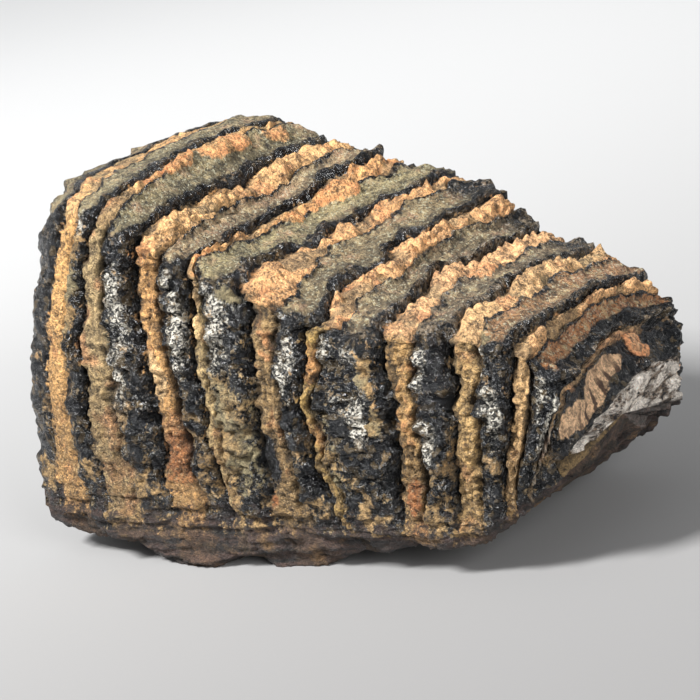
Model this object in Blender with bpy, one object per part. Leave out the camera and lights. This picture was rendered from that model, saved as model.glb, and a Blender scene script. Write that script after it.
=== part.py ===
"""Fossil mammoth molar: a stack of flat enamel plates, each filled with dentine and bedded in
cement, worn across the top into a stepped chewing surface. It is one solid, resting on its
root side. +X runs along the tooth from its back end to its worn front end, +Y from the side
with bare ridges to the other side, +Z up from the roots to the chewing surface."""

import bmesh
import bpy
import numpy as np
from mathutils import Vector, noise

MM = 0.001

# The tooth is a net of lines: a row of it for each plate's front wall, from the back of the
# tooth to its worn front end, and twelve columns round it. The first row lies behind the tooth.
# Each list gives one size for every row, in millimetres, before the whole is centred.
# How far along the tooth the wall stands: at the roots, halfway up, at the shoulder, at the near
# edge of the crown, in its middle and at its far edge.
ROOT_X = (-96, -84.5, -67, -48, -30.5, -18.5, 2.5, 17.5, 32.5, 44, 49, 56)
WAIST_X = (-88.5, -77.5, -64, -44, -30, -15, -1.5, 21.5, 36.5, 50.5, 57.5, 58)
SHOULDER_X = (-78, -67, -57, -44, -29.5, -14, 0.5, 22, 38.5, 54, 60.5, 60.5)
NEAR_X = (-75, -63.5, -51.5, -41, -29.5, -16, 4, 21, 38.5, 54.5, 60, 60.5)
MIDDLE_X = (-87, -77, -54.5, -43.5, -31, -17, 3.5, 16, 34.5, 50, 55.5, 61)
FAR_X = (-79, -68, -52, -40.5, -23.5, -5, 8, 18.5, 33.5, 48.5, 54, 58.5)
# How high the crown stands at its near edge, in its middle and at its far edge.
NEAR_TOP = (88, 89, 87.5, 82.5, 74.5, 69.5, 62, 58.5, 58, 54.5, 43.5, 30)
MIDDLE_TOP = (86, 88, 89.5, 81.5, 74.5, 69, 66, 60, 57.5, 53.5, 44.5, 35.5)
FAR_TOP = (86, 88.5, 88, 82, 78.3, 72.3, 67, 57.6, 53.7, 47, 40, 33)
# How far each side stands out from the middle at the crown's edge and halfway down.
NEAR_EDGE = (28, 33, 35, 35, 35, 35, 35, 35, 35, 35, 27, 27)
NEAR_SIDE = (34, 40, 43, 43, 43, 43, 43, 43, 42.5, 41, 38, 33)
FAR_EDGE = (30, 33, 35, 35, 33.5, 33.5, 33.5, 33.5, 31, 27, 23.5, 14.5)
FAR_SIDE = (33, 37, 41, 42, 42, 42, 41, 39, 36, 33, 29, 21)
# The underside: its height in the middle, then the height and distance out of the broken roots
# on each side. A root that would reach below zero is cut off flat, and the tooth rests on it.
UNDER_Z = (8, 6, 5, 5, 5, 5, 5, 5, 7, 13, 17, 22)
NEAR_ROOT_Z = (10, 8, 5, -2, 2, -2, 5.5, 6.5, 8.5, 14, 17.5, 21.5)
NEAR_ROOT = (22, 26, 28, 34, 33, 29, 29, 27, 26, 25, 20, 14)
FAR_ROOT_Z = (6, -1, -2, 2, 3, -1, -2, 3, 6, 13.5, 17, 22)
FAR_ROOT = (22, 27, 28, 26, 27, 30, 30, 27, 24, 21, 16, 10)
RIM_Z = (13, 11.5, 10, 9.5, 9.5, 9.5, 9.5, 9.5, 10, 13.5, 17.5, 22)
FIRST_ROW = -1
WAIST_SHARE = 0.51
SHOULDER_SHARE = 0.87

# How much of each plate's share of the tooth is the cement behind it, on the crown and on the
# sides.
CEMENT_ON_CROWN = np.array((0.30, 0.30, 0.36, 0.18, 0.45, 0.33, 0.42, 0.42, 0.38, 0.36, 0.30, 0.14))
CEMENT_ON_SIDE = np.array((0.10, 0.10, 0.60, 0.42, 0.52, 0.22, 0.57, 0.15, 0.42, 0.36, 0.38, 0.12))

# Relief across one plate's share of the tooth. 0 is the foot of the wall behind, CEMENT_END is
# where the cement meets the plate, and 1 is the foot of the plate's own front wall.
CEMENT_END = 0.40
CROWN_RELIEF_AT = (0.00, 0.40, 0.43, 0.50, 0.68, 0.86, 0.94, 1.00)
CROWN_RELIEF = (-1.2, -0.2, 0.5, 0.1, 0.6, 1.5, 2.4, -2.6)
SIDE_RELIEF_AT = (0.00, 0.10, 0.32, 0.40, 0.46, 0.62, 0.78, 0.91, 1.00)
SIDE_RELIEF = (-3.0, -2.0, -1.4, -2.2, 0.4, 1.9, 2.3, 1.3, -3.0)
RELIEF_SHARE = (0.2, 0.3, 0.75, 1, 1, 1, 1, 1, 1, 1, 0.9, 0.5, 0.4)
GROOVE_DEPTH = -2.9
CEMENT_LUMP = 4.6
PULP_DEPTH = 6.0
PULP_HALF = 19.0
BREAK_DEPTH = 1.1
BREAK_SIZE = 9.0

# Where the mesh has its lines: across each plate's share, and round each of twelve intervals.
PLATE_LINES = (0.0, 0.12, 0.36, 0.44, 0.64, 0.86, 0.95)
ROUND_LINES = (4, 3, 5, 5, 4, 10, 10, 4, 4, 3, 3, 4)
BACK_END, FRONT_END = -0.36, 10.2
BACK_BULGE, FRONT_BULGE = 3.0, 1.4
BACK_LOBE, BACK_LOBE_DEPTH = 15.0, 2.2
CAP_LINES = (0.30, 0.55, 0.78, 1.0)
CAP_FULLNESS = 0.55

STONE_COLOUR = (0.17, 0.13, 0.09, 1.0)


def control_net():
    """The twelve points round the tooth at each row, as an array of rows, columns and x, y, z."""

    def height(share, top):
        return share * np.array(top) + (1 - share) * np.array(UNDER_Z)

    low_side, far_waist_x = 0.91, (np.array(ROOT_X) + FAR_X) / 2
    near_side, far_side, near_edge, far_edge = map(np.array, (NEAR_SIDE, FAR_SIDE, NEAR_EDGE, FAR_EDGE))
    columns = (
        (ROOT_X, 0 * near_side, UNDER_Z),
        (ROOT_X, -np.array(NEAR_ROOT), NEAR_ROOT_Z),
        (ROOT_X, -near_side * low_side, RIM_Z),
        (WAIST_X, -near_side, height(WAIST_SHARE, NEAR_TOP)),
        (SHOULDER_X, -0.3 * near_edge - 0.7 * near_side, height(SHOULDER_SHARE, NEAR_TOP)),
        (NEAR_X, -near_edge, NEAR_TOP),
        (MIDDLE_X, 0 * near_side, MIDDLE_TOP),
        (FAR_X, far_edge, FAR_TOP),
        (FAR_X, 0.3 * far_edge + 0.7 * far_side, height(SHOULDER_SHARE, FAR_TOP)),
        (far_waist_x, far_side, height(WAIST_SHARE, FAR_TOP)),
        (ROOT_X, far_side * low_side, RIM_Z),
        (ROOT_X, np.array(FAR_ROOT), FAR_ROOT_Z),
    )
    return np.array(columns, dtype=float).transpose(2, 0, 1)


def blend_weights(t):
    """The four weights of a smooth curve through evenly spaced points."""
    return (
        (-t + 2 * t**2 - t**3) / 2,
        (2 - 5 * t**2 + 3 * t**3) / 2,
        (t + 4 * t**2 - 3 * t**3) / 2,
        (-(t**2) + t**3) / 2,
    )


def smooth_tooth(net, along, round_):
    """Points on the tooth before its relief. along counts plates, round_ counts columns."""
    rows, columns = net.shape[:2]
    i, j = np.floor(along).astype(int), np.floor(round_).astype(int)
    row_weights, column_weights = blend_weights(along - i), blend_weights(round_ - j)
    point = 0
    for a, row_weight in enumerate(row_weights):
        row = np.clip(i + a - 1 - FIRST_ROW, 0, rows - 1)
        for b, column_weight in enumerate(column_weights):
            point = point + (row_weight * column_weight)[..., None] * net[row, (j + b - 1) % columns]
    return point


def step(low, high, value):
    """0 below low, 1 above high, and a smooth rise between."""
    t = np.clip((value - low) / (high - low), 0.0, 1.0)
    return t * t * (3 - 2 * t)


def zone(round_, start, full, full_end, end):
    """1 between full and full_end round the tooth, fading to 0 at start and end."""
    return step(start, full, round_) * (1 - step(full_end, end, round_))


def noise_at(points, size, seed):
    """Fractal noise of about -1 to 1 whose lumps are about size millimetres across."""
    shift = Vector((seed * 7.31, seed * 3.77, seed * 5.13))
    flat = [noise.fractal(Vector(p) / size + shift, 1.0, 2.0, 3) for p in points.reshape(-1, 3)]
    return np.array(flat).reshape(points.shape[:-1])


def cement_share(plate, round_):
    """The share of a plate's space that is cement, on the crown or on the side."""
    crown = zone(round_, 4.5, 5.1, 6.9, 7.5)
    index = np.clip(plate - FIRST_ROW, 0, len(CEMENT_ON_CROWN) - 1)
    return crown * CEMENT_ON_CROWN[index] + (1 - crown) * CEMENT_ON_SIDE[index]


def plate_position(plate, lamina, round_):
    """Where a point of a plate's own scale, 0 to 1, lies on the scale that counts plates."""
    share = cement_share(plate, round_)
    in_cement = lamina / CEMENT_END * share
    in_plate = share + (lamina - CEMENT_END) / (1 - CEMENT_END) * (1 - share)
    return plate - 1 + np.where(lamina < CEMENT_END, in_cement, in_plate)


def relief(plate, lamina, round_, points):
    """How far the surface stands off the smooth tooth, in millimetres."""
    crown = zone(round_, 4.6, 5.2, 6.8, 7.4)
    near_side, far_side = zone(round_, 1.7, 2.7, 4.6, 5.2), zone(round_, 6.8, 7.4, 9.3, 10.3)
    under = 1 - step(0.9, 1.5, round_) + step(10.5, 11.1, round_)
    lump = np.abs(np.sin(np.pi * points[..., 1] / CEMENT_LUMP + 2.1 * plate)) ** 0.6
    edge = 0.05 + 0.13 * (1 - lump)
    on_crown = np.interp(lamina, CROWN_RELIEF_AT, CROWN_RELIEF)
    cement = lamina < CEMENT_END
    filled = step(edge, edge + 0.07, lamina)
    on_crown = np.where(cement, GROOVE_DEPTH + (on_crown + 0.5 * lump - GROOVE_DEPTH) * filled, on_crown)
    on_side = np.interp(lamina, SIDE_RELIEF_AT, SIDE_RELIEF)
    slot = zone(lamina, 0.44, 0.56, 0.84, 0.96) * (1 - step(0.6, 1.0, np.abs(points[..., 1]) / PULP_HALF))
    share = np.interp(plate - 1 + lamina, np.arange(len(RELIEF_SHARE)) + FIRST_ROW, RELIEF_SHARE)
    broken = BREAK_DEPTH * noise_at(points, BREAK_SIZE, 1)
    return share * (crown * on_crown + (near_side + far_side) * on_side) - under * PULP_DEPTH * slot + broken


def surface(net, plate, lamina, round_):
    """Points on the finished tooth."""
    along = plate_position(plate, lamina, round_)
    small = 0.03
    point = smooth_tooth(net, along, round_)
    ahead = smooth_tooth(net, along + small, round_) - smooth_tooth(net, along - small, round_)
    around = smooth_tooth(net, along, round_ + small) - smooth_tooth(net, along, round_ - small)
    outward = np.cross(ahead, around)
    outward /= np.linalg.norm(outward, axis=-1, keepdims=True)
    return point + outward * relief(plate, lamina, round_, point)[..., None]


def closed_end(edge, bulge, lobes, lines):
    """Rings that close one end of the tooth, from the given last ring to a point."""
    middle = edge.mean(axis=0)
    rings = []
    for q in lines:
        share = np.cos(q * np.pi / 2) ** CAP_FULLNESS
        ring = middle + (edge - middle) * share
        ring[:, 0] += bulge * np.sin(q * np.pi / 2)
        ring[:, 0] += lobes * share * np.cos(2 * np.pi * ring[:, 1] / BACK_LOBE)
        ring[:, 0] += BREAK_DEPTH * share * noise_at(ring, BREAK_SIZE, 2)
        rings.append(ring)
    rings[-1][:] = rings[-1].mean(axis=0)
    return rings


def tooth_rings():
    """Every ring of points round the tooth, from the back end to the front end."""
    net = control_net()
    round_ = np.concatenate([k + np.arange(n) / n for k, n in enumerate(ROUND_LINES)])
    rings = []
    for plate in range(int(np.floor(BACK_END)) + 1, int(np.ceil(FRONT_END)) + 1):
        for lamina in PLATE_LINES:
            along = plate - 1 + lamina
            if BACK_END <= along <= FRONT_END:
                rings.append(surface(net, np.full(round_.shape, plate), np.full(round_.shape, lamina), round_))
    back = closed_end(rings[0], -BACK_BULGE, -BACK_LOBE_DEPTH, CAP_LINES)
    front = closed_end(rings[-1], FRONT_BULGE, 0.0, CAP_LINES)
    rings = np.array(back[::-1] + rings + front)
    rings[..., 2] = np.maximum(rings[..., 2], 0.0)
    return rings


def make_tooth():
    """One closed mesh from a grid that is wrapped round the rings."""
    rings = tooth_rings()
    count, around = rings.shape[:2]
    mesh = bmesh.new()
    bmesh.ops.create_grid(mesh, x_segments=around, y_segments=count - 1, size=1.0)
    for vertex in mesh.verts:
        column = round((vertex.co.x + 1) / 2 * around)
        row = round((vertex.co.y + 1) / 2 * (count - 1))
        vertex.co = Vector(rings[row, column % around] * MM)
    bmesh.ops.remove_doubles(mesh, verts=mesh.verts, dist=0.02 * MM)
    bmesh.ops.triangulate(mesh, faces=mesh.faces)
    bmesh.ops.recalc_face_normals(mesh, faces=mesh.faces)
    low = Vector([min(v.co[axis] for v in mesh.verts) for axis in range(3)])
    high = Vector([max(v.co[axis] for v in mesh.verts) for axis in range(3)])
    middle = (low + high) / 2
    bmesh.ops.translate(mesh, verts=mesh.verts, vec=(-middle.x, -middle.y, -low.z))
    data = bpy.data.meshes.new("mammoth_tooth")
    mesh.to_mesh(data)
    mesh.free()
    data.shade_smooth()
    tooth = bpy.data.objects.new("mammoth_tooth", data)
    bpy.context.scene.collection.objects.link(tooth)
    return tooth


def fossil_stone():
    """The dark mineral that the whole tooth has turned to."""
    material = bpy.data.materials.new("fossil_tooth")
    material.use_nodes = True
    shader = material.node_tree.nodes["Principled BSDF"]
    shader.inputs["Base Color"].default_value = STONE_COLOUR
    shader.inputs["Roughness"].default_value = 0.6
    shader.inputs["Metallic"].default_value = 0.0
    return material


for old in list(bpy.data.objects):
    bpy.data.objects.remove(old)
make_tooth().data.materials.append(fossil_stone())
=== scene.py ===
import math

import bmesh
import bpy
import numpy as np
from mathutils import Matrix, Vector, noise


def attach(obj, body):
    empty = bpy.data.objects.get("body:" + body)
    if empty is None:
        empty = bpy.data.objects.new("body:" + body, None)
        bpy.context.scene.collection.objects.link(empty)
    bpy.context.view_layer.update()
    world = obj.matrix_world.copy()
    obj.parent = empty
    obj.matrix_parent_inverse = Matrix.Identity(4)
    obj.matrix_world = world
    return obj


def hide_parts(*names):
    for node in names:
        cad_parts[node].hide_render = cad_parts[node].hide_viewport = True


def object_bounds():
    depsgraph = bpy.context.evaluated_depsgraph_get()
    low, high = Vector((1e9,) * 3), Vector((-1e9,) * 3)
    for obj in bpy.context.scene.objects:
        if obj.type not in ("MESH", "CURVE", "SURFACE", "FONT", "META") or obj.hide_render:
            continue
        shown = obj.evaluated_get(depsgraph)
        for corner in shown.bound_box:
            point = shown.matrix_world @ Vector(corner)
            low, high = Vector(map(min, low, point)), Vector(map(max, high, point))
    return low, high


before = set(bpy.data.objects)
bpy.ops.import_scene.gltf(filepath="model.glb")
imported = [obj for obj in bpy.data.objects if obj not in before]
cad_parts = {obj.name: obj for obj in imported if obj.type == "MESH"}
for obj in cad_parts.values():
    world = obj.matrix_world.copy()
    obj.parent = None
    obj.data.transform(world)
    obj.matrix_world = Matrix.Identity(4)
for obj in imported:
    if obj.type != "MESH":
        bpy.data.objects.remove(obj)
cad_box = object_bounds()

# Mammoth molar
# A mammoth's cheek tooth turned to mineral: a row of flat enamel plates, each filled with
# dentine and bedded in cement. Chewing wore its top into steps, because the enamel is harder
# than what lies between, and its roots broke off beneath, where it now rests.

MM = 0.001
SAME_PLACE = 0.02 * MM

# The tooth is a net of lines: a row for each plate's front wall, from the back of the tooth to
# its worn front end, and twelve columns round it. Each list gives one size for every row, in
# millimetres, before the whole is centred.
# How far along the tooth the wall stands: at the roots, halfway up, at the shoulder, at the near
# edge of the crown, in its middle and at its far edge.
ROOT_X = (-96, -84.5, -67, -48, -30.5, -18.5, 2.5, 17.5, 32.5, 44, 49, 56)
WAIST_X = (-88.5, -77.5, -64, -44, -30, -15, -1.5, 21.5, 36.5, 50.5, 57.5, 58)
SHOULDER_X = (-78, -67, -57, -44, -29.5, -14, 0.5, 22, 38.5, 54, 60.5, 60.5)
NEAR_X = (-75, -63.5, -51.5, -41, -29.5, -16, 4, 21, 38.5, 54.5, 60, 60.5)
MIDDLE_X = (-87, -77, -54.5, -43.5, -31, -17, 3.5, 16, 34.5, 50, 55.5, 61)
FAR_X = (-79, -68, -52, -40.5, -23.5, -5, 8, 18.5, 33.5, 48.5, 54, 58.5)
# How high the crown stands at its near edge, in its middle and at its far edge.
NEAR_TOP = (88, 89, 87.5, 82.5, 74.5, 69.5, 62, 58.5, 58, 54.5, 43.5, 30)
MIDDLE_TOP = (86, 88, 89.5, 81.5, 74.5, 69, 66, 60, 57.5, 53.5, 44.5, 35.5)
FAR_TOP = (86, 88.5, 88, 82, 78.3, 72.3, 67, 57.6, 53.7, 47, 40, 33)
# How far each side stands out from the middle at the crown's edge and halfway down.
NEAR_EDGE = (28, 33, 35, 35, 35, 35, 35, 35, 35, 35, 27, 27)
NEAR_SIDE = (34, 40, 43, 43, 43, 43, 43, 43, 42.5, 41, 38, 33)
FAR_EDGE = (30, 33, 35, 35, 33.5, 33.5, 33.5, 33.5, 31, 27, 23.5, 14.5)
FAR_SIDE = (33, 37, 41, 42, 42, 42, 41, 39, 36, 33, 29, 21)
# The underside: its height in the middle, then the height and distance out of the broken roots
# on each side. A root that would reach below zero is cut off flat, and the tooth rests on it.
UNDER_Z = (8, 6, 5, 5, 5, 5, 5, 5, 7, 13, 17, 22)
NEAR_ROOT_Z = (10, 8, 5, -2, 2, -2, 5.5, 6.5, 8.5, 14, 17.5, 21.5)
NEAR_ROOT = (22, 26, 28, 34, 33, 29, 29, 27, 26, 25, 20, 14)
FAR_ROOT_Z = (6, -1, -2, 2, 3, -1, -2, 3, 6, 13.5, 17, 22)
FAR_ROOT = (22, 27, 28, 26, 27, 30, 30, 27, 24, 21, 16, 10)
RIM_Z = (13, 11.5, 10, 9.5, 9.5, 9.5, 9.5, 9.5, 10, 13.5, 17.5, 22)
# The number of the first row, the height of the waist and of the shoulder as shares of the
# crown's, and the middle of the footprint, which the tooth is centred on.
FIRST_ROW = -1
WAIST_SHARE = 0.51
SHOULDER_SHARE = 0.87
MIDDLE = np.array((-15.9498, -0.8801, 0.0))

# Each plate's cement: its share of the plate's space on the crown, at the near corner and on the
# sides, the width of its lumps, how much of its row they fill, how deep the gap is between it and
# the plate, and how bold the step is at the plate's front.
CEMENT_ON_CROWN = np.array((0.30, 0.30, 0.36, 0.18, 0.50, 0.33, 0.42, 0.42, 0.38, 0.36, 0.30, 0.14))
CEMENT_AT_CORNER = np.array((0.30, 0.30, 0.45, 0.36, 0.55, 0.20, 0.54, 0.40, 0.42, 0.40, 0.36, 0.12))
CEMENT_ON_SIDE = np.array((0.10, 0.10, 0.60, 0.44, 0.52, 0.24, 0.57, 0.16, 0.42, 0.48, 0.40, 0.12))
LUMP_WIDTH = np.array((5, 5, 5, 6, 6.5, 6, 4.2, 3.8, 3.8, 3.6, 3.2, 3))
LUMP_FILL = np.array((0.5, 0.5, 0.6, 0.1, 0.8, 0.35, 0.7, 0.6, 0.8, 0.7, 0.6, 0.3))
GAP_DEPTH = np.array((0, 0, 0, 0.4, 2.4, 0, 0.5, 0.5, 1.2, 0.6, 1.0, 0))
STEP_SIZE = np.array((0.6, 0.6, 0.6, 0.75, 0.9, 0.8, 0.8, 1.5, 1.2, 1.4, 1.3, 0.8))
CEMENT_END = 0.40

# Relief across one plate's share of the tooth, in millimetres. 0 is the foot of the wall
# behind, CEMENT_END is where the cement meets the plate, 1 is the foot of its own front wall.
CROWN_AT = (0.00, 0.06, 0.18, 0.34, 0.395, 0.42, 0.45, 0.50, 0.66, 0.80, 0.88, 0.94, 0.97, 1.00)
CROWN_RELIEF = (-0.4, 0.3, 0.5, 0.1, -0.4, 0.5, 0.3, -0.4, 0.0, 0.3, 0.8, 1.1, 0.7, -0.9)
SIDE_AT = (0.00, 0.05, 0.12, 0.32, 0.385, 0.42, 0.50, 0.62, 0.78, 0.90, 0.96, 1.00)
SIDE_RELIEF = (-2.7, -1.6, -0.8, -0.5, -1.8, -0.2, 1.0, 1.5, 1.8, 1.2, -0.2, -2.7)
# How strong that relief is on each plate, how deep the groove beside the cement is, the pulp
# slot's depth and half its length, and the depth and width of the broken lumps on every face.
RELIEF_SHARE = (0.2, 0.3, 0.75, 1, 1, 1, 1, 1, 1, 1, 0.9, 0.5, 0.4)
GROOVE_DEPTH = -1.1
PULP_DEPTH = 6.0
PULP_HALF = 19.0
BREAK_DEPTH = 1.1
BREAK_SIZE = 9.0
# Where the surface turns to the near corner, the crown and the far side, counted in columns.
CORNER_TURN, CROWN_TURN, FAR_TURN = (4.3, 4.9), (5.1, 5.9), (6.9, 7.5)
# How far the plates' borders sway, as a share of a plate, and the width of their bends.
SWAY, SWAY_SIZE = 0.10, 6.0
CROWN_SWAY, CROWN_SWAY_SIZE = 0.17, 15.0

# Where the mesh has its lines: across each plate's share, and round each of twelve intervals.
coarse = 1
LINES_ACROSS = ((0, 0.375, 14), (0.375, 0.465, 6), (0.465, 0.83, 7), (0.83, 0.94, 4), (0.94, 1, 5))
PLATE_LINES = np.concatenate([
    np.linspace(start, end, count // coarse, endpoint=False) for start, end, count in LINES_ACROSS
])
ROUND_LINES = [n // coarse for n in (12, 22, 70, 60, 32, 78, 78, 22, 34, 30, 16, 12)]
LAST_PLATE = 10
ROUNDING = 1e-9
# Where the rows end, how far each end bulges, the lobes of the back end, the rings that close an
# end, and the plate border at which two pieces meet, because one mesh would be too large.
BACK_END, FRONT_END = -0.36, 10.2
BACK_BULGE, FRONT_BULGE = 3.0, 1.4
BACK_LOBE, BACK_LOBE_DEPTH = 15.0, 2.2
CAP_LINES = np.array((0.12, 0.24, 0.36, 0.48, 0.60, 0.70, 0.79, 0.87, 0.94, 1.0))
CAP_FULLNESS = 0.55
PARTING = 5.0


def control_net():
    """The twelve points round the tooth at each row, as an array of rows, columns and x, y, z."""

    def height(share, top):
        return share * np.array(top) + (1 - share) * np.array(UNDER_Z)

    low_side, far_waist_x = 0.91, (np.array(ROOT_X) + FAR_X) / 2
    near_side, far_side, near_edge, far_edge = map(np.array, (NEAR_SIDE, FAR_SIDE, NEAR_EDGE, FAR_EDGE))
    columns = (
        (ROOT_X, 0 * near_side, UNDER_Z),
        (ROOT_X, -np.array(NEAR_ROOT), NEAR_ROOT_Z),
        (ROOT_X, -near_side * low_side, RIM_Z),
        (WAIST_X, -near_side, height(WAIST_SHARE, NEAR_TOP)),
        (SHOULDER_X, -0.3 * near_edge - 0.7 * near_side, height(SHOULDER_SHARE, NEAR_TOP)),
        (NEAR_X, -near_edge, NEAR_TOP),
        (MIDDLE_X, 0 * near_side, MIDDLE_TOP),
        (FAR_X, far_edge, FAR_TOP),
        (FAR_X, 0.3 * far_edge + 0.7 * far_side, height(SHOULDER_SHARE, FAR_TOP)),
        (far_waist_x, far_side, height(WAIST_SHARE, FAR_TOP)),
        (ROOT_X, far_side * low_side, RIM_Z),
        (ROOT_X, np.array(FAR_ROOT), FAR_ROOT_Z),
    )
    return np.array(columns, dtype=float).transpose(2, 0, 1)


def blend_weights(t):
    """The four weights of a smooth curve through evenly spaced points."""
    return (
        (-t + 2 * t**2 - t**3) / 2,
        (2 - 5 * t**2 + 3 * t**3) / 2,
        (t + 4 * t**2 - 3 * t**3) / 2,
        (-(t**2) + t**3) / 2,
    )


def smooth_tooth(net, along, round_):
    """Points on the tooth before its relief. along counts plates, round_ counts columns."""
    rows, columns = net.shape[:2]
    i, j = np.floor(along).astype(int), np.floor(round_).astype(int)
    row_weights, column_weights = blend_weights(along - i), blend_weights(round_ - j)
    point = 0
    for a, row_weight in enumerate(row_weights):
        row = np.clip(i + a - 1 - FIRST_ROW, 0, rows - 1)
        for b, column_weight in enumerate(column_weights):
            point = point + (row_weight * column_weight)[..., None] * net[row, (j + b - 1) % columns]
    return point


def step(low, high, value):
    """0 below low, 1 above high, and a smooth rise between."""
    t = np.clip((value - low) / (high - low), 0.0, 1.0)
    return t * t * (3 - 2 * t)


def zone(start, full, full_end, end, value):
    """1 between full and full_end, fading to 0 at start and end."""
    return step(start, full, value) * (1 - step(full_end, end, value))


def noise_at(points, size, seed, octaves=3):
    """Fractal noise of about -1 to 1 whose lumps are about size millimetres across."""
    shift = Vector((seed * 7.31, seed * 3.77, seed * 5.13))
    places = (Vector(p) / size + shift for p in points.reshape(-1, 3).tolist())
    flat = [noise.fractal(place, 1.0, 2.0, octaves) for place in places]
    return np.array(flat).reshape(points.shape[:-1])


def pebbles_at(points, size, seed):
    """Rounded pebbles about size millimetres across: 1 at the middle of each, 0 between them."""
    shift = Vector((seed * 4.7, seed * 2.3, seed * 6.1))
    places = (Vector(p) / size + shift for p in points.reshape(-1, 3).tolist())
    near = np.array([noise.voronoi(place)[0][:2] for place in places])
    return (np.clip((near[:, 1] - near[:, 0]) * 1.5, 0.0, 1.0) ** 0.7).reshape(points.shape[:-1])


def plate_position(plate, lamina, round_):
    """Where a point of a plate's own scale, 0 to 1, lies on the scale that counts plates."""
    index = np.clip(plate - FIRST_ROW, 0, len(CEMENT_ON_CROWN) - 1)
    corner = step(*CORNER_TURN, round_)
    crown = step(*CROWN_TURN, round_)
    share = (1 - corner) * CEMENT_ON_SIDE[index] + (corner - crown) * CEMENT_AT_CORNER[index]
    share = share + crown * CEMENT_ON_CROWN[index]
    share = share + step(*FAR_TURN, round_) * (CEMENT_ON_SIDE[index] - share)
    in_cement = lamina / CEMENT_END * share
    in_plate = share + (lamina - CEMENT_END) / (1 - CEMENT_END) * (1 - share)
    return plate - 1 + np.where(lamina < CEMENT_END, in_cement, in_plate)


# Places of the surface that differ: plate, column, half length along and half width round.
# Pale frost on the enamel, partly painted highlight on the upward-facing shoulders of its ridges.
FROST_AND_HIGHLIGHT = (
    (0.60, 4.5, 0.30, 0.4), (1.70, 3.6, 0.20, 0.4), (1.50, 3.1, 0.15, 0.3), (2.80, 3.75, 0.18, 0.5),
    (3.45, 3.7, 0.30, 0.45), (3.70, 4.2, 0.20, 0.3), (4.75, 3.9, 0.15, 0.4), (5.35, 4.15, 0.25, 0.35),
    (5.75, 3.3, 0.10, 0.3), (6.60, 4.1, 0.12, 0.3), (6.62, 3.1, 0.12, 0.25), (7.45, 4.3, 0.08, 0.6),
    (7.70, 3.3, 0.15, 0.4), (8.55, 3.9, 0.10, 0.5), (8.85, 3.5, 0.10, 0.5),
    (2.60, 8.5, 0.30, 0.4), (5.60, 9.0, 0.30, 0.4), (7.60, 8.2, 0.25, 0.4),
)
CRUSTED = (
    (3.60, 2.9, 0.40, 0.45), (3.30, 3.3, 0.12, 0.2), (5.32, 2.9, 0.20, 0.45), (5.84, 3.85, 0.07, 0.25),
    (5.88, 3.3, 0.05, 0.15), (0.60, 3.8, 0.30, 0.55), (1.30, 3.3, 0.10, 0.5), (6.5, 8.9, 0.30, 0.5),
    (2.70, 9.2, 0.30, 0.4), (4.60, 8.6, 0.25, 0.4), (7.5, 4.9, 0.2, 0.15), (3.9, 4.5, 0.15, 0.2),
)
RUSTY = (
    (2.24, 2.6, 0.25, 0.2), (3.95, 2.35, 0.12, 0.12), (4.68, 2.30, 0.12, 0.12), (6.22, 2.5, 0.12, 0.2),
    (0.74, 2.5, 0.20, 0.15), (3.2, 9.3, 0.3, 0.3), (7.2, 9.0, 0.2, 0.4),
)
CREAMY = ((2.12, 3.15, 0.14, 0.22), (3.20, 4.2, 0.09, 0.45), (4.2, 8.3, 0.15, 0.4))
DARK = ((9.22, 6.72, 0.22, 0.30), (9.06, 4.4, 0.10, 1.1), (4.1, 2.7, 0.12, 0.2))
# Lumps of cement that stand by themselves on the chewing surface, and the worn core of the
# last plate.
ISLANDS = (
    (1.17, 5.54, 0.17, 0.13), (1.30, 5.86, 0.20, 0.20), (1.50, 6.28, 0.20, 0.20),
    (1.60, 6.70, 0.15, 0.12), (3.30, 5.12, 0.13, 0.10), (3.44, 6.00, 0.13, 0.10),
    (3.42, 6.36, 0.17, 0.18), (6.4, 6.0, 0.15, 0.12), (9.52, 6.16, 0.20, 0.13),
    (9.70, 6.26, 0.12, 0.10),
)
CORE = (
    (9.57, 3.85, 0.11, 0.34), (9.66, 4.35, 0.13, 0.60), (9.69, 5.00, 0.15, 0.60),
    (9.60, 5.50, 0.14, 0.36),
)


def spots(stack, wrap, places):
    """1 in the middle of a place, 0.5 at its border and 0 as far again beyond."""
    field = np.zeros(np.broadcast(stack, wrap).shape)
    for plate, column, half_plate, half_column in places:
        distance = np.hypot((stack - plate) / half_plate, (wrap - column) / half_column)
        field = np.maximum(field, 1 - 0.5 * distance)
    return field


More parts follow.
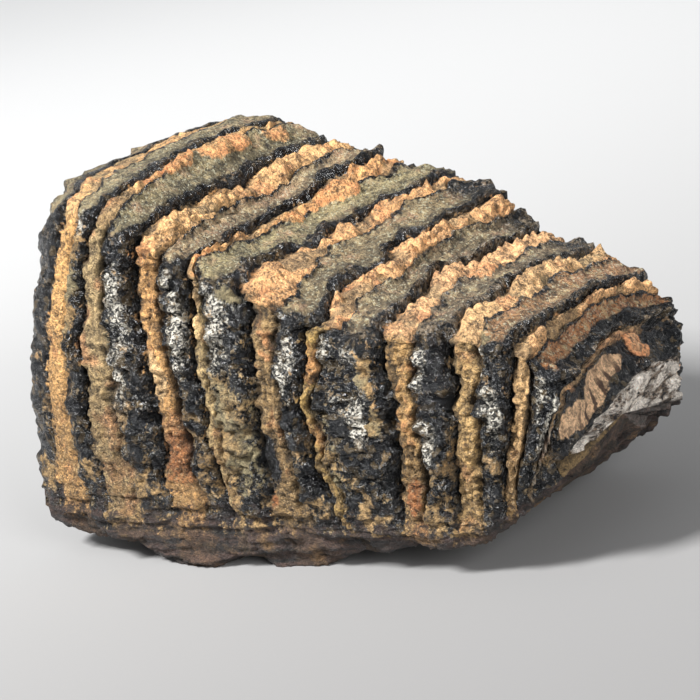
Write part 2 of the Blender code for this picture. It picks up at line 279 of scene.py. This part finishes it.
def relief(plate, lamina, round_, points):
    """How far the surface stands off the smooth tooth, in millimetres, with and without the
    broken lumps, and where the cement's lumps are."""
    index = np.clip(plate - FIRST_ROW, 0, len(LUMP_WIDTH) - 1)
    crown_start = np.where(plate > 9, 3.4, 4.6)
    crown = zone(crown_start, crown_start + 0.6, 6.8, 7.4, round_)
    near_side = zone(2.0, 2.7, crown_start, crown_start + 0.6, round_)
    sides = near_side + zone(6.8, 7.4, 9.3, 10.0, round_)
    under = 1 - step(0.9, 1.5, round_) + step(10.5, 11.1, round_)
    rim = zone(0.9, 1.4, 2.1, 2.6, round_) + zone(9.4, 9.9, 10.6, 11.1, round_)
    slow = noise_at(points, 16.0, 5, 2)
    medium = noise_at(points, 3.6, 3)
    small = noise_at(points, 1.2, 4)
    knobs = pebbles_at(points, 6.5, 2)
    pebbles = pebbles_at(points, 2.6, 7)
    cement = 1 - step(0.385, 0.415, lamina)

    phase = (points[..., 1] + 2.0 * slow) / LUMP_WIDTH[index] + 0.37 * plate
    head = np.sqrt(1 - (2 * (phase % 1.0) - 1) ** 2)
    filled = step(-0.15, 0.15, 0.8 * (LUMP_FILL[index] - 0.5) + noise_at(points, 9.0, 8, 2))
    edge = 0.10 * (1 - head * (0.4 + 0.6 * filled)) + 0.03 * medium
    on_crown = np.interp(lamina, CROWN_AT, CROWN_RELIEF)
    lump = head * (1 - 0.5 * step(0.15, 0.38, lamina))
    bed = on_crown + (0.3 + 0.7 * filled) * (1.2 * lump + 1.4 * (pebbles - 0.5)) - 0.7 * (1 - filled)
    on_cement = GROOVE_DEPTH + (bed - GROOVE_DEPTH) * step(edge, edge + 0.11, lamina)
    island = spots(plate - 1 + lamina, round_, ISLANDS)
    bed = np.maximum(bed, 0.3 + 1.7 * np.sqrt(np.clip(2 * island - 0.9, 0, 1)) + 1.0 * (pebbles - 0.5))
    front = step(0.80, 0.88, lamina)
    on_crown = on_crown * (1 + (STEP_SIZE[index] - 1) * front)
    on_plate = on_crown * (0.95 + 0.5 * slow) + (0.45 + 0.5 * front) * medium + 0.5 * (pebbles - 0.5)
    cement_here = np.maximum(cement, step(0.45, 0.52, island))
    on_cement = np.where(cement > 0.5, on_cement, bed)
    on_crown = cement_here * on_cement + (1 - cement_here) * on_plate + 0.35 * small

    bold = 0.85 + 0.45 * zone(2.6, 3.9, 4.9, 5.4, round_) + 0.5 * slow
    on_side = bold * np.interp(lamina, SIDE_AT, SIDE_RELIEF)
    on_side -= GAP_DEPTH[index] * zone(0.30, 0.37, 0.40, 0.46, lamina)
    streaks = noise_at(points * (1.0, 1.0, 0.22), 1.5, 9, 2)
    on_side += cement * (1.2 * (pebbles - 0.5) + 0.8 * medium + 0.8 * streaks)
    on_side += (1 - cement) * (2.8 * (knobs - 0.6) + 1.4 * (pebbles - 0.5) + 1.3 * medium) + 0.5 * small

    slot_ends = 1 - step(0.6, 1.0, np.abs(points[..., 1]) / PULP_HALF)
    slot = zone(0.44, 0.56, 0.84, 0.96, lamina) * slot_ends
    share = np.interp(plate - 1 + lamina, np.arange(len(RELIEF_SHARE)) + FIRST_ROW, RELIEF_SHARE)
    ledges = noise_at(points * (0.22, 1.0, 1.6), 4.0, 10)
    form = share * (crown * on_crown + sides * on_side) - under * (PULP_DEPTH * slot - 0.8 * medium)
    form += rim * (1.7 * ledges + 0.5 * small)
    form += step(9.95, 10.1, plate - 1 + lamina) * (0.9 * medium + 0.6 * small + 0.8 * (pebbles - 0.5))
    lumps = np.maximum(pebbles * filled, island)
    return form + BREAK_DEPTH * noise_at(points, BREAK_SIZE, 1), form, lumps


def surface(net, plate, lamina, round_):
    """Points on the finished tooth, with the height of their relief and their lumps."""
    along = plate_position(plate, lamina, round_)
    crown = zone(4.5, 5.1, 6.9, 7.5, round_)
    point = smooth_tooth(net, along, round_)
    along = along + (SWAY - 0.01 * crown) * noise_at(point, SWAY_SIZE, 6)
    along = along + CROWN_SWAY * crown * noise_at(point, CROWN_SWAY_SIZE, 12, 2)
    small = 0.03
    point = smooth_tooth(net, along, round_)
    ahead = smooth_tooth(net, along + small, round_) - smooth_tooth(net, along - small, round_)
    around = smooth_tooth(net, along, round_ + small) - smooth_tooth(net, along, round_ - small)
    outward = np.cross(ahead, around)
    outward /= np.linalg.norm(outward, axis=-1, keepdims=True)
    height, form, lumps = relief(plate, lamina, round_, point)
    return point + outward * height[..., None], form, lumps


def closed_end(edge, bulge, lobes):
    """Rings that close one end of the tooth, from the given last ring to a point."""
    middle = edge.mean(axis=0)
    rings = []
    for q in CAP_LINES:
        share = np.cos(q * np.pi / 2) ** CAP_FULLNESS
        ring = middle + (edge - middle) * share
        ring[:, 0] += bulge * np.sin(q * np.pi / 2)
        ring[:, 0] += lobes * share * np.cos(2 * np.pi * ring[:, 1] / BACK_LOBE)
        ring[:, 0] += share * (BREAK_DEPTH * noise_at(ring, 6.0, 2) + 0.9 * noise_at(ring, 2.4, 3))
        ring[:, 0] += share * 1.2 * (pebbles_at(ring, 5.0, 6) - 0.5)
        rings.append(ring)
    rings[-1][:] = rings[-1].mean(axis=0)
    return rings


net = control_net()
wrap = np.concatenate([k + np.arange(n) / n for k, n in enumerate(ROUND_LINES)])
stack = np.concatenate([k + PLATE_LINES for k in range(FIRST_ROW, LAST_PLATE + 1)])
stack = stack[(stack >= BACK_END) & (stack <= FRONT_END)]
shape = (len(stack), len(wrap))
plate = np.broadcast_to(np.floor(stack + ROUNDING).astype(int)[:, None] + 1, shape)
lamina = np.broadcast_to(((stack + ROUNDING) % 1.0)[:, None], shape)
points, form, lumps = surface(net, plate, lamina, np.broadcast_to(wrap, shape))
back = closed_end(points[0], -BACK_BULGE, -BACK_LOBE_DEPTH)
front = closed_end(points[-1], FRONT_BULGE, 0.0)
points = np.concatenate((back[::-1], points, front))
form = np.pad(form, ((len(back), len(front)), (0, 0)), mode="edge")
lumps = np.pad(lumps, ((len(back), len(front)), (0, 0)), mode="edge")
ends = np.arange(1, len(CAP_LINES) + 1) / 100
stack = np.concatenate((stack[0] - ends[::-1], stack, stack[-1] + ends))
points = np.clip((points - MIDDLE) * MM, cad_box[0], cad_box[1])
marks = {"form": form, "lumps": lumps}
places_by_mark = {
    "frosted": FROST_AND_HIGHLIGHT,
    "crusted": CRUSTED,
    "rusty": RUSTY,
    "creamy": CREAMY,
    "dark": DARK,
    "island": ISLANDS,
    "core": CORE,
}
for mark, places in places_by_mark.items():
    marks[mark] = spots(stack[:, None], wrap, places)


def plates(name, first, last):
    """A closed piece of the tooth from one row of points to another."""
    rows = points[first : last + 1]
    heights = stack[first : last + 1]
    sheets = {mark: field[first : last + 1] for mark, field in marks.items()}
    if first > 0:
        rows = np.concatenate((np.broadcast_to(rows[0].mean(axis=0), rows[:1].shape), rows))
        heights = np.concatenate((heights[:1], heights))
        sheets = {mark: np.concatenate((field[:1], field)) for mark, field in sheets.items()}
    if last < len(points) - 1:
        rows = np.concatenate((rows, np.broadcast_to(rows[-1].mean(axis=0), rows[:1].shape)))
        heights = np.concatenate((heights, heights[-1:]))
        sheets = {mark: np.concatenate((field, field[-1:])) for mark, field in sheets.items()}
    count, around = rows.shape[:2]
    mesh = bmesh.new()
    bmesh.ops.create_grid(mesh, x_segments=around, y_segments=count - 1, size=1.0)
    uv = mesh.loops.layers.uv.new("plates")
    layers = {mark: mesh.verts.layers.float.new(mark) for mark in sheets}
    round_ends = np.append(wrap, float(len(ROUND_LINES)))
    for vertex in mesh.verts:
        column = round((vertex.co.x + 1) / 2 * around)
        row = round((vertex.co.y + 1) / 2 * (count - 1))
        place = (float(heights[row]), float(round_ends[column]))
        for loop in vertex.link_loops:
            loop[uv].uv = place
        for mark, layer in layers.items():
            vertex[layer] = float(sheets[mark][row, column % around])
        vertex.co = Vector(rows[row, column % around])
    bmesh.ops.remove_doubles(mesh, verts=mesh.verts, dist=SAME_PLACE)
    bmesh.ops.recalc_face_normals(mesh, faces=mesh.faces)
    data = bpy.data.meshes.new(name)
    mesh.to_mesh(data)
    mesh.free()
    data.shade_smooth()
    piece = bpy.data.objects.new(name, data)
    bpy.context.scene.collection.objects.link(piece)
    return piece


class Value:
    """An output of one node. Python's operators on it add Math nodes."""

    def __init__(self, finish, socket):
        self.finish, self.socket = finish, socket

    def __add__(self, other):
        return self.finish.math("ADD", self, other)

    def __sub__(self, other):
        return self.finish.math("SUBTRACT", self, other)

    def __rsub__(self, other):
        return self.finish.math("SUBTRACT", other, self)

    def __mul__(self, other):
        return self.finish.math("MULTIPLY", self, other)

    __radd__, __rmul__ = __add__, __mul__

    def output(self, name):
        """Another output of the same node."""
        return Value(self.finish, self.socket.node.outputs[name])

    def rise(self, low, high, start=0.0, end=1.0):
        """start below low, end above high, and a smooth change between."""
        settings = {"interpolation_type": "SMOOTHSTEP"}
        return self.finish.add("MapRange", settings, {"Value": self, 1: low, 2: high, 3: start, 4: end})

    def between(self, start, full, full_end, end):
        """1 between full and full_end, fading to 0 at start and end."""
        return self.rise(start, full) * self.rise(full_end, end, 1.0, 0.0)


class Finish:
    """A material, built up node by node from what lies on its surface."""

    def __init__(self, name):
        self.material = bpy.data.materials.new(name)
        self.material.use_nodes = True
        self.tree = self.material.node_tree
        self.shader = self.tree.nodes["Principled BSDF"]

    def add(self, kind, settings=None, sockets=None, output=0):
        """Adds a node, with its settings first and then the values or links of its sockets."""
        node = self.tree.nodes.new("ShaderNode" + kind)
        for name, setting in (settings or {}).items():
            if name == "stops":
                ramp = node.color_ramp.elements
                for k, (position, colour) in enumerate(setting):
                    stop = ramp[k] if k < 2 else ramp.new(position)
                    stop.position, stop.color = position, (*colour, 1.0)
            elif name == "steps":
                node.color_ramp.interpolation = setting
            else:
                setattr(node, name, setting)
        for name, value in (sockets or {}).items():
            self.join(node.inputs[name], value)
        return Value(self, node.outputs[output])

    def join(self, socket, value):
        if isinstance(value, Value):
            self.tree.links.new(value.socket, socket)
        elif socket.type == "RGBA" and len(value) == 3:
            socket.default_value = (*value, 1.0)
        else:
            socket.default_value = value

    def math(self, operation, first, second):
        return self.add("Math", {"operation": operation}, {0: first, 1: second})

    def mix(self, share, first, second):
        """first where share is 0 and second where it is 1."""
        return self.add("Mix", {"data_type": "RGBA"}, {0: share, 6: first, 7: second}, 2)

    def shade(self, colour, factor):
        """The colour made darker or lighter by a factor."""
        return self.add("VectorMath", {"operation": "SCALE"}, {0: colour, "Scale": factor})

    def noise(self, size, detail=2.0, rough=0.55, place=None):
        """Noise of 0 to 1 whose lumps are about size millimetres across."""
        sockets = {"Vector": place or self.place, "Scale": 1000 / size}
        return self.add("TexNoise", {}, {**sockets, "Detail": detail, "Roughness": rough})

    def grains(self, size, output="Distance", place=None):
        """Rounded grains about size millimetres across: the distance from the middle, or
        another output of the same node, such as each grain's own colour."""
        sockets = {"Vector": place or self.place, "Scale": 1000 / size}
        return self.add("TexVoronoi", {}, sockets, output)

    def mark(self, name):
        return self.add("Attribute", {"attribute_name": name}, {}, "Fac")

    def by_plate(self, colours):
        """One colour for each plate's share of the tooth."""
        stops = [(k / len(colours), srgb(*colour)) for k, colour in enumerate(colours)]
        return self.add("ValToRGB", {"stops": stops, "steps": "CONSTANT"}, {0: self.plate})


def srgb(red, green, blue):
    """A colour picked on a screen, as the amounts of light that it stands for."""
    levels = (red, green, blue)
    return tuple(((c / 255 + 0.055) / 1.055) ** 2.4 if c > 10 else c / 255 / 12.92 for c in levels)


tooth = Finish("fossil_tooth")
tooth.place = tooth.add("TexCoord", {}, {}, "Object")
# Where a point lies: along the plates' own scale, and round the tooth by columns.
stack_place = tooth.add("SeparateXYZ", {}, {0: tooth.add("UVMap", {"uv_map": "plates"})})
wrap_place = stack_place.output("Y")

# Noises from broad to fine, grains, and the places that differ.
blotch = tooth.noise(9.0, 3.0)
patch = tooth.noise(3.2, 3.0, 0.6)
crumb = tooth.noise(1.1, 3.0, 0.7)
dust = tooth.noise(0.45, 3.0, 0.8)
swirl = tooth.add("TexNoise", {}, {"Vector": tooth.place, "Scale": 900.0, "Detail": 3.0}, "Color")
swirl = tooth.add("VectorMath", {"operation": "SCALE"}, {0: swirl, "Scale": 0.0016})
tooth.bent = tooth.add("VectorMath", {}, {0: tooth.place, 1: swirl})
grain = tooth.grains(0.7)
tone = tooth.add("SeparateColor", {}, {0: grain.output("Color")})
speck = tooth.add("SeparateColor", {}, {0: tooth.grains(0.38, "Color")})
flake = tooth.add("SeparateColor", {}, {0: tooth.grains(0.5, "Color", tooth.bent)})
chip = tooth.add("SeparateColor", {}, {0: tooth.grains(1.5, "Color", tooth.bent)}, "Green")
frosted, crusted, rusty, creamy, dark, island, core = map(tooth.mark, places_by_mark)
form_height, lumpy = tooth.mark("form"), tooth.mark("lumps")

# How much darker or lighter each grain is than its surroundings, with painted shade in the pits, where
# the bump is low.
grain_and_pit_shade = 0.60 + tone * 0.36 + speck * 0.40
for fine in (dust, crumb, patch):
    grain_and_pit_shade = grain_and_pit_shade + (fine - 0.5) * 2.4
grain_and_pit_shade = grain_and_pit_shade.rise(0.0, 2.0, 0.16, 1.9)

# Where the crown, the cement and the dentine are. Each border is ragged.
ragged = (patch - 0.5) * 1.1 + (crumb - 0.5) * 0.9
crown_start = stack_place.rise(8.98, 9.02, 4.7, 3.6)
on_crown = (wrap_place - crown_start + ragged * 0.5).rise(-0.15, 0.15)
on_crown = on_crown * wrap_place.rise(7.1, 7.4, 1.0, 0.0)
nudge = (patch - 0.5) * 0.28 + (crumb - 0.5) * 0.22
nudged = stack_place + nudge * (1 - on_crown * 0.5)
nudged = nudged + (blotch - 0.5) * wrap_place.rise(7.3, 8.0) * 0.6
tooth.plate = (nudged + 1.0) * (1 / 12)
lamina_place = tooth.add("Math", {"operation": "FRACT"}, {0: nudged + 1.0})
island = (island + ragged * 0.12).rise(0.46, 0.52)
core = (core + ragged * 0.15).rise(0.46, 0.52)
in_cement = lamina_place.between(0.0, 0.03, 0.385, 0.41)
from_tip = lamina_place - 0.65
tip = (wrap_place - crown_start - from_tip * from_tip * 8.0 + ragged * 0.3).rise(-0.08, 0.08)
far_tip = 7.25 - stack_place.between(3.98, 4.0, 6.98, 7.0) * 0.5
dentine = tip * (wrap_place - far_tip + ragged * 0.4).rise(-0.1, 0.1, 1.0, 0.0)
dentine = dentine * lamina_place.between(0.44, 0.47, 0.85, 0.88)
dentine = dentine * (stack_place + ragged * 0.05).rise(-0.36, -0.33)
dentine = dentine * stack_place.rise(8.98, 9.02, 1.0, 0.0)
dentine = dentine * (1 - stack_place.between(8.70, 8.74, 8.98, 9.0))
lower = (wrap_place + ragged * 0.4).rise(2.5, 3.4, 1.0, 0.0)

# Cement: tan to orange on the crown and duller on the sides, with painted shade between its lumps and in
# its pits.
crown_cement = tooth.by_plate((
    (206, 166, 118), (214, 168, 114), (214, 166, 110), (220, 172, 116), (228, 172, 112), (220, 166, 112),
    (224, 170, 116), (222, 172, 122), (208, 166, 116), (224, 172, 118), (198, 150, 108), (176, 164, 148),
))
side_cement = tooth.by_plate((
    (176, 138, 92), (216, 166, 104), (178, 152, 108), (220, 168, 106), (196, 168, 118), (160, 130, 86),
    (176, 144, 84), (190, 150, 94), (204, 166, 108), (204, 164, 112), (168, 156, 140), (190, 180, 165),
))
cement = tooth.mix(on_crown, side_cement, crown_cement)
cement = tooth.mix(blotch.rise(0.54, 0.66) * 0.45, cement, srgb(196, 122, 78))
# Painted shade in the crevices between the cement's lumps on the crown.
cement = tooth.mix(lumpy.rise(-0.1, 0.25, 0.75, 0.0) * on_crown, cement, srgb(126, 114, 84))
cement = tooth.mix(lower * patch.rise(0.36, 0.58) * 0.85, cement, srgb(112, 88, 54))
cement = tooth.mix((creamy + ragged * 0.2).rise(0.45, 0.6) * 0.9, cement, srgb(236, 196, 142))
cement = tooth.mix((rusty + ragged * 0.4).rise(0.45, 0.65) * 0.75, cement, srgb(150, 90, 48))
cement = tooth.shade(cement, grain_and_pit_shade)
# Painted shade in the cement's pits, where the bump is low.
cement = tooth.mix((crumb + patch * 0.6).rise(0.58, 0.70, 0.55, 0.0), cement, srgb(84, 60, 36))
cement = tooth.mix(speck.rise(0.88, 0.95) * 0.3, cement, srgb(240, 210, 164))

# Dentine: dull olive-grey to brown, darker towards the plate's front, with pale specks and painted shade
# in its pits.
dentine_colour = tooth.by_plate((
    (146, 130, 98), (144, 130, 98), (140, 126, 92), (152, 128, 96), (152, 138, 100), (140, 120, 86),
    (128, 110, 82), (130, 110, 84), (152, 114, 76), (168, 116, 74), (222, 178, 134), (205, 195, 180),
))
patchy = patch.rise(0.4, 0.6)
browned = blotch.rise(0.48, 0.62) * patchy * 0.6
dentine_colour = tooth.mix(browned, dentine_colour, srgb(152, 116, 92))
dulled = blotch.rise(0.36, 0.50, 0.6, 0.0) * crumb.rise(0.35, 0.6)
dentine_colour = tooth.mix(dulled, dentine_colour, srgb(92, 86, 68))
dentine_colour = tooth.shade(dentine_colour, grain_and_pit_shade)
front_shade = lamina_place.rise(0.62, 0.86) * (crumb + patch * 0.6).rise(0.60, 0.90) * 0.75
dentine_colour = tooth.mix(front_shade, dentine_colour, tooth.shade(srgb(66, 60, 48), grain_and_pit_shade))
pale_chips = chip.rise(0.70, 0.80) * patchy * 0.6
dentine_colour = tooth.mix(pale_chips, dentine_colour, srgb(194, 174, 132))
dentine_colour = tooth.mix(speck.rise(0.86, 0.92) * 0.55, dentine_colour, srgb(206, 204, 176))
# Painted shade in the dentine's pits, where the bump is low.
pit_shade = (crumb + patch * 0.4).rise(0.56, 0.62, 0.7, 0.0)
dentine_colour = tooth.mix(pit_shade, dentine_colour, srgb(54, 48, 40))

# The worn core of the last plate, with brown ribs.
rib_sockets = {"Vector": tooth.bent, "Scale": 80.0, "Distortion": 2.0, "Detail Scale": 3.0}
stripe = tooth.add("TexWave", {"bands_direction": "Y"}, rib_sockets)
striped = stripe.rise(0.6, 0.8) * wrap_place.rise(4.6, 5.2) * stack_place.rise(9.55, 9.68, 0.35, 1.0)
core_colour = tooth.shade(srgb(224, 184, 144), grain_and_pit_shade.rise(0.0, 2.0, 0.35, 1.5))
core_colour = tooth.mix(striped * 0.95, core_colour, srgb(70, 44, 30))

# Enamel: near black, with pale frost and painted highlights on its ridges, painted glints, golden crusts
# and tan flakes.
# Painted highlight along the crests of the sides, joined to the frost.
ridge_highlight = form_height.rise(0.8, 2.6) * (1 - on_crown) * (1 - lower)
frost_and_highlight_mask = (frosted * 0.9 + ridge_highlight * 0.38 + ragged * 0.9).rise(0.45, 0.8)
enamel = tooth.mix(crumb.rise(0.4, 0.7), srgb(7, 8, 10), srgb(32, 34, 38))
enamel = tooth.mix(chip.rise(0.80, 0.86) * 0.6, enamel, srgb(96, 82, 60))
# Painted glints: sparse grey specks on the enamel.
enamel = tooth.mix(speck.rise(0.90, 0.96) * patch.rise(0.4, 0.55) * 0.6, enamel, srgb(140, 138, 134))
# Grey and white flecks where the frost and the painted highlights lie.
enamel = tooth.mix(frost_and_highlight_mask * (dust + crumb).rise(0.92, 1.15) * 0.6, enamel, srgb(128, 122, 108))
enamel = tooth.mix(frost_and_highlight_mask * (flake + crumb).rise(1.02, 1.15) * 0.9, enamel, srgb(218, 212, 198))
crust = (crusted + ragged * 0.9).rise(0.42, 0.60)
gold = tooth.mix(blotch.rise(0.4, 0.6), srgb(140, 128, 96), srgb(158, 128, 84))
gold = tooth.shade(gold, grain_and_pit_shade)
grime = (1 - on_crown) * lower * (blotch + patch * 0.6 + crumb * 0.3).rise(0.98, 1.10)
flaked = (1 - on_crown * 0.7) * (patch + crumb * 0.6).rise(0.91, 1.02) * 0.7
enamel = tooth.mix(crust * 0.9 + grime * 0.8, enamel, gold)
flake_colour = tooth.mix(blotch.rise(0.4, 0.6), srgb(120, 104, 78), srgb(166, 132, 90))
enamel = tooth.mix(flaked, enamel, tooth.shade(flake_colour, grain_and_pit_shade))
crest = form_height.rise(0.7, 1.6) * on_crown * (crumb + patch * 0.5).rise(0.78, 0.88)
enamel = tooth.mix(crest * 0.7, enamel, tooth.shade(srgb(128, 112, 92), grain_and_pit_shade))
slope = stack_place.between(4.9, 5.1, 7.0, 7.1) * on_crown * (crumb + patch).rise(0.95, 1.06)
enamel = tooth.mix(slope * 0.7, enamel, tooth.shade(srgb(104, 92, 76), grain_and_pit_shade))

colour = tooth.mix(dentine, enamel, dentine_colour)
colour = tooth.mix(in_cement, colour, cement)
island_colour = tooth.mix(patchy * 0.6, cement, tooth.shade(srgb(206, 132, 84), grain_and_pit_shade))
colour = tooth.mix(island, colour, island_colour)
colour = tooth.mix(core, colour, core_colour)
darkened = (dark + ragged * 0.3).rise(0.42, 0.55)
colour = tooth.mix(darkened, colour, tooth.shade(srgb(24, 24, 26), grain_and_pit_shade))

# The broken front face: whitish, streaked across, and olive-brown at its foot.
across = tooth.add("Mapping", {"vector_type": "POINT"}, {0: tooth.place, "Scale": (1.0, 0.35, 0.8)})
weather = tooth.noise(2.6, 4.0, 0.7, across)
fallen = tooth.mix(weather.rise(0.40, 0.55), srgb(124, 106, 88), srgb(238, 228, 216))
fallen = tooth.shade(fallen, 0.35 + grain_and_pit_shade * 0.65)
fallen = tooth.mix((weather + crumb * 0.9).rise(0.80, 0.86, 1.0, 0.0), fallen, srgb(34, 32, 32))
foot = (wrap_place + ragged * 0.6).rise(3.5, 4.0, 1.0, 0.0)
fallen = tooth.mix(foot, fallen, tooth.shade(srgb(122, 100, 66), grain_and_pit_shade))
colour = tooth.mix((stack_place + ragged * 0.10).rise(9.97, 10.03), colour, fallen)

# The roots: dark brown, streaked along the tooth. Painted shade darkens the hollows on every face.
stretch = tooth.add("Mapping", {"vector_type": "POINT"}, {0: tooth.place, "Scale": (0.22, 1.0, 1.6)})
flow = tooth.noise(3.0, 4.0, 0.65, stretch)
root = tooth.mix(flow.rise(0.35, 0.65), srgb(20, 16, 14), srgb(80, 60, 52))
root = tooth.mix(blotch.rise(0.55, 0.68) * flow.rise(0.4, 0.6) * 0.7, root, srgb(132, 102, 64))
root = tooth.shade(root, 0.5 + grain_and_pit_shade * 0.5)
near_root = (wrap_place + ragged * 0.8).rise(2.0, 2.3, 1.0, 0.0)
far_root = (wrap_place + ragged * 0.6).rise(9.75, 10.1)
root_share = near_root + far_root
colour = tooth.mix(root_share * 0.9, colour, root)
# Painted shade: the deeper the relief's hollow, the darker its colour.
colour = tooth.shade(colour, form_height.rise(-2.6, 0.0, 0.20, 1.0))
tooth.join(tooth.shader.inputs["Base Color"], colour)

# Enamel is glossy where nothing covers it, and chipped. The rest is rough and granular.
rough_share = in_cement + dentine + crust + grime + flaked + island + core
glossy = (rough_share * (1 - darkened)).rise(0.0, 1.0, 1.0, 0.0) * (1 - root_share * 0.6)
tooth.join(tooth.shader.inputs["Roughness"], 0.85 - glossy * 0.63 + frost_and_highlight_mask * 0.1)
tooth.shader.inputs["Specular IOR Level"].default_value = 0.6
granular = (crumb - 0.5) * 2.4 + (dust - 0.5) * 1.2 - grain * 0.35


def facets(size):
    """Flat chipped faces, each tilted its own way, as a height in millimetres."""
    faces = tooth.grains(size, "Color", tooth.bent)
    tilt = tooth.add("VectorMath", {"operation": "SUBTRACT"}, {0: faces, 1: (0.5, 0.5, 0.5)})
    middles = faces.output("Position")
    offset = tooth.add("VectorMath", {"operation": "SUBTRACT"}, {0: tooth.bent, 1: middles})
    return tooth.add("VectorMath", {"operation": "DOT_PRODUCT"}, {0: tilt, 1: offset}, "Value") * 1000.0


chipped = facets(1.6) * 1.6 + facets(0.7) * 1.6
height = granular * (1 - glossy * 0.6) + glossy * chipped
bump = tooth.add("Bump", {}, {"Height": height, "Strength": 1.0, "Distance": 0.001})
tooth.join(tooth.shader.inputs["Normal"], bump)

parting = int(np.argmin(np.abs(stack - PARTING)))
for name, first, last in (("back_plates", 0, parting), ("front_plates", parting, len(stack) - 1)):
    piece = plates(name, first, last)
    piece.data.materials.append(tooth.material)
    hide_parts("mammoth_tooth")
    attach(piece, "root")

# Table
# A pale surface that curves up behind the tooth, so that no edge shows, with painted shade that darkens
# it towards the camera.

table_mesh = bmesh.new()
bmesh.ops.create_grid(table_mesh, x_segments=1, y_segments=40, size=1.0)
for vertex in table_mesh.verts:
    share = (vertex.co.y + 1) / 2
    turn = max(0.0, share - 0.5) / 0.5 * math.pi / 2
    run = -2.0 + 3.2 * min(share, 0.5) / 0.5
    vertex.co = Vector((vertex.co.x * 3.0, run + 1.2 * math.sin(turn), 1.2 * (1 - math.cos(turn))))
towards_camera = Matrix.Rotation(math.radians(38), 3, "Z")
bmesh.ops.rotate(table_mesh, verts=table_mesh.verts, cent=(0, 0, 0), matrix=towards_camera)
table_data = bpy.data.meshes.new("table")
table_mesh.to_mesh(table_data)
table_mesh.free()
table_data.shade_smooth()
table = bpy.data.objects.new("table", table_data)
bpy.context.scene.collection.objects.link(table)
paper = Finish("pale_paper")
place = paper.add("TexCoord", {}, {}, "Object")
away_from_camera = {0: place, 1: (-0.62, 0.79, 0.0)}
depth = paper.add("VectorMath", {"operation": "DOT_PRODUCT"}, away_from_camera, "Value")
# Painted shade: the paper darker towards the camera and paler away from it.
shade = paper.mix(depth.rise(-0.3, 0.8), (0.18, 0.176, 0.174), (0.80, 0.80, 0.795))
paper.join(paper.shader.inputs["Base Color"], shade)
paper.shader.inputs["Roughness"].default_value = 0.9
table.data.materials.append(paper.material)

# Light
# A broad soft lamp high on the left, a weaker one on the right, and pale light all round.


def soft_lamp(name, place, aim, size, power):
    data = bpy.data.lights.new(name, "AREA")
    data.energy = power
    data.size = size
    lamp = bpy.data.objects.new(name, data)
    lamp.location = place
    lamp.rotation_euler = (Vector(aim) - Vector(place)).to_track_quat("-Z", "Y").to_euler()
    bpy.context.scene.collection.objects.link(lamp)


soft_lamp("window", (-0.30, -0.80, 0.95), (0, 0, 0.04), 0.26, 35.0)
soft_lamp("fill", (1.0, -0.6, 0.45), (0, 0, 0.04), 0.5, 13.0)
world = bpy.data.worlds.new("room")
world.use_nodes = True
world.node_tree.nodes["Background"].inputs["Color"].default_value = (0.95, 0.97, 1.0, 1.0)
world.node_tree.nodes["Background"].inputs["Strength"].default_value = 0.42
bpy.context.scene.world = world

# Camera
# It looks down the near side from the worn end, turned a little, as in the photograph.

AZIMUTH, ELEVATION, ROLL = math.radians(38.0), math.radians(15.4), math.radians(11.9)
DISTANCE, FOCAL_PIXELS = 0.756, 3226.0
AIM = Vector((-0.0177, 0.0, 0.0404)) - Vector(MIDDLE * MM)
back = Vector((
    math.sin(AZIMUTH) * math.cos(ELEVATION),
    -math.cos(AZIMUTH) * math.cos(ELEVATION),
    math.sin(ELEVATION),
))
level = Vector((math.cos(AZIMUTH), math.sin(AZIMUTH), 0.0))
up = back.cross(level)
right = level * math.cos(ROLL) - up * math.sin(ROLL)
up = level * math.sin(ROLL) + up * math.cos(ROLL)
camera_data = bpy.data.cameras.new("camera")
camera_data.lens = FOCAL_PIXELS / 700 * camera_data.sensor_width
camera_data.clip_start = 0.01
camera = bpy.data.objects.new("camera", camera_data)
turn = Matrix((right, up, back)).transposed()
camera.matrix_world = Matrix.LocRotScale(AIM + back * DISTANCE, turn.to_quaternion(), None)
bpy.context.scene.collection.objects.link(camera)
bpy.context.scene.camera = camera
bpy.context.scene.view_settings.view_transform = "Standard"
